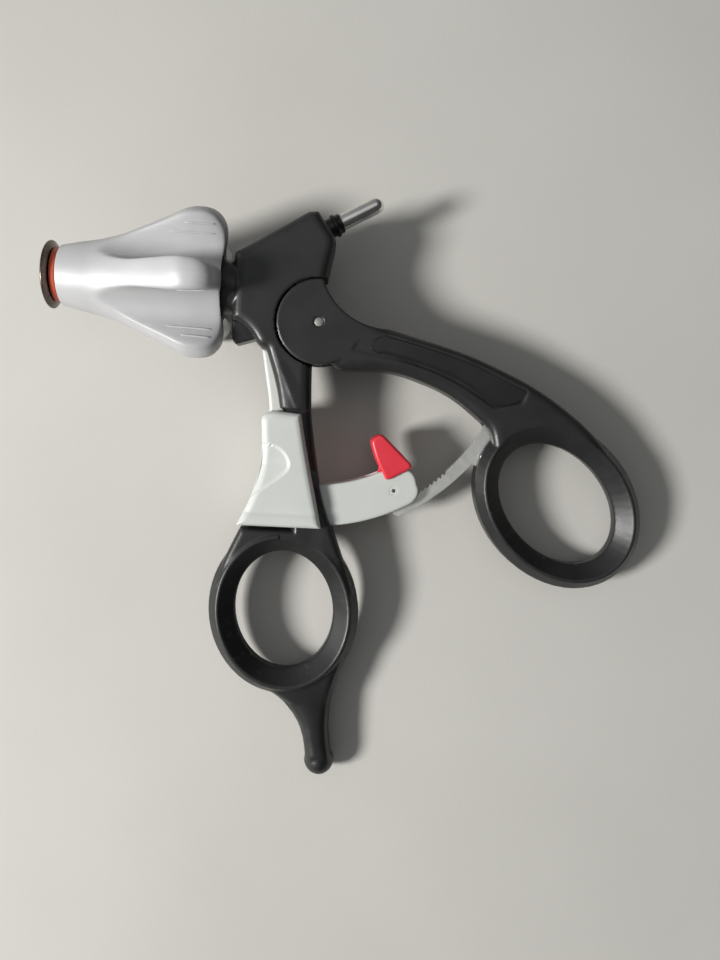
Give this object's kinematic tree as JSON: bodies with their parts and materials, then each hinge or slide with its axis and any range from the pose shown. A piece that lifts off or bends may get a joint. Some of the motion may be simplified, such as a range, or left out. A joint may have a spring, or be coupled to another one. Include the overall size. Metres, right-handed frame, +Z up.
{
  "type": "ratcheted ring handle",
  "caption": "Ring handle for a rod-driven hand instrument: fluted rotating knob, thumb arm with ratchet, release trigger, angled connector pin and a finger ring with a spur.",
  "frame": {"origin": "under the middle of the bounding box, on the table the handle lies on", "axes": "+Z up from the table; +X runs back along the knob axis as seen from above; +Y points from the finger ring to the connector"},
  "size_m": [0.1534, 0.1496, 0.0358],
  "materials": {
    "dark_plastic": "satin, finely textured",
    "black_plastic": "satin",
    "light_plastic": "satin",
    "red_plastic": "gloss",
    "orange_plastic": "satin",
    "silver_plastic": "satin, silver",
    "bronze_metal": "dark satin",
    "polished_steel": "polished",
    "brushed_steel": "brushed"
  },
  "bodies": {
    "handle": {"handle_body": "dark_plastic", "front_bush": "brushed_steel", "hf_pin": "polished_steel", "hf_collar": "black_plastic", "hf_contact": "brushed_steel", "pivot_pin": "brushed_steel", "ratchet_housing": "light_plastic", "housing_pin": "brushed_steel", "pawl_pin": "brushed_steel", "pawl_spring": "brushed_steel", "trigger_pin": "brushed_steel", "trigger_spring": "brushed_steel", "button_spring": "brushed_steel"},
    "thumb_arm": {"thumb_arm": "dark_plastic", "drive_pin": "polished_steel", "ratchet_rack": "brushed_steel", "rack_pin_1": "brushed_steel", "rack_pin_2": "brushed_steel"},
    "drive_rod": {"drive_rod": "polished_steel"},
    "shaft_coupling": {"coupling_sleeve": "brushed_steel", "front_flange": "bronze_metal", "indicator_ring": "orange_plastic", "lock_ball_1": "polished_steel", "lock_ball_2": "polished_steel", "lock_ball_3": "polished_steel", "knob_spring": "brushed_steel", "sleeve_clip": "brushed_steel"},
    "rotation_knob": {"star_knob": "silver_plastic"},
    "release_trigger": {"release_trigger": "light_plastic"},
    "pawl": {"pawl": "brushed_steel"},
    "ratchet_switch": {"ratchet_switch": "red_plastic"},
    "insert_release_button": {"insert_release_button": "black_plastic"}
  },
  "joints": [
    {"name": "arm_pivot", "type": "hinge", "parent": "handle", "child": "thumb_arm", "pos_m": [-0.00983, 0.04269, 0.01471], "axis": [0.0547, -0.0843, 0.9949], "range_deg": [-22, 0]},
    {"name": "rod_slide", "type": "slide", "parent": "handle", "child": "drive_rod", "axis": [0.9985, 0, -0.0549], "range_m": [0, 0.00296]},
    {"name": "knob_spin", "type": "hinge", "parent": "handle", "child": "shaft_coupling", "pos_m": [-0.05373, 0.05027, 0.01777], "axis": [0.9985, 0, -0.0549], "continuous": true},
    {"name": "knob_pull", "type": "slide", "parent": "shaft_coupling", "child": "rotation_knob", "axis": [0.9985, 0, -0.0549], "range_m": [0, 0.0015], "stiffness_N_per_m": 800, "springref_m": -0.004},
    {"name": "trigger_pull", "type": "hinge", "parent": "handle", "child": "release_trigger", "pos_m": [-0.01966, 0.03293, 0.01443], "axis": [0.0547, -0.0843, 0.9949], "range_deg": [0, 4], "stiffness_Nm_per_rad": 0.5, "springref_deg": -11.46},
    {"name": "pawl_lift", "type": "hinge", "parent": "handle", "child": "pawl", "pos_m": [0.01135, 0.00214, 0.01011], "axis": [0.0547, -0.0843, 0.9949], "range_deg": [-6, 0]},
    {"name": "switch_flip", "type": "hinge", "parent": "handle", "child": "ratchet_switch", "pos_m": [0.01135, 0.00214, 0.01011], "axis": [0.0547, -0.0843, 0.9949], "range_deg": [0, 18]},
    {"name": "button_press", "type": "slide", "parent": "handle", "child": "insert_release_button", "axis": [0.0046, 0.9964, 0.0842], "range_m": [0, 0.0012], "stiffness_N_per_m": 600, "springref_m": -0.003}
  ],
  "couplings": [
    {"joint": "rod_slide", "follows": "arm_pivot", "m_per_rad": -0.0076948},
    {"joint": "pawl_lift", "follows": "trigger_pull", "ratio": -1.5}
  ]
}
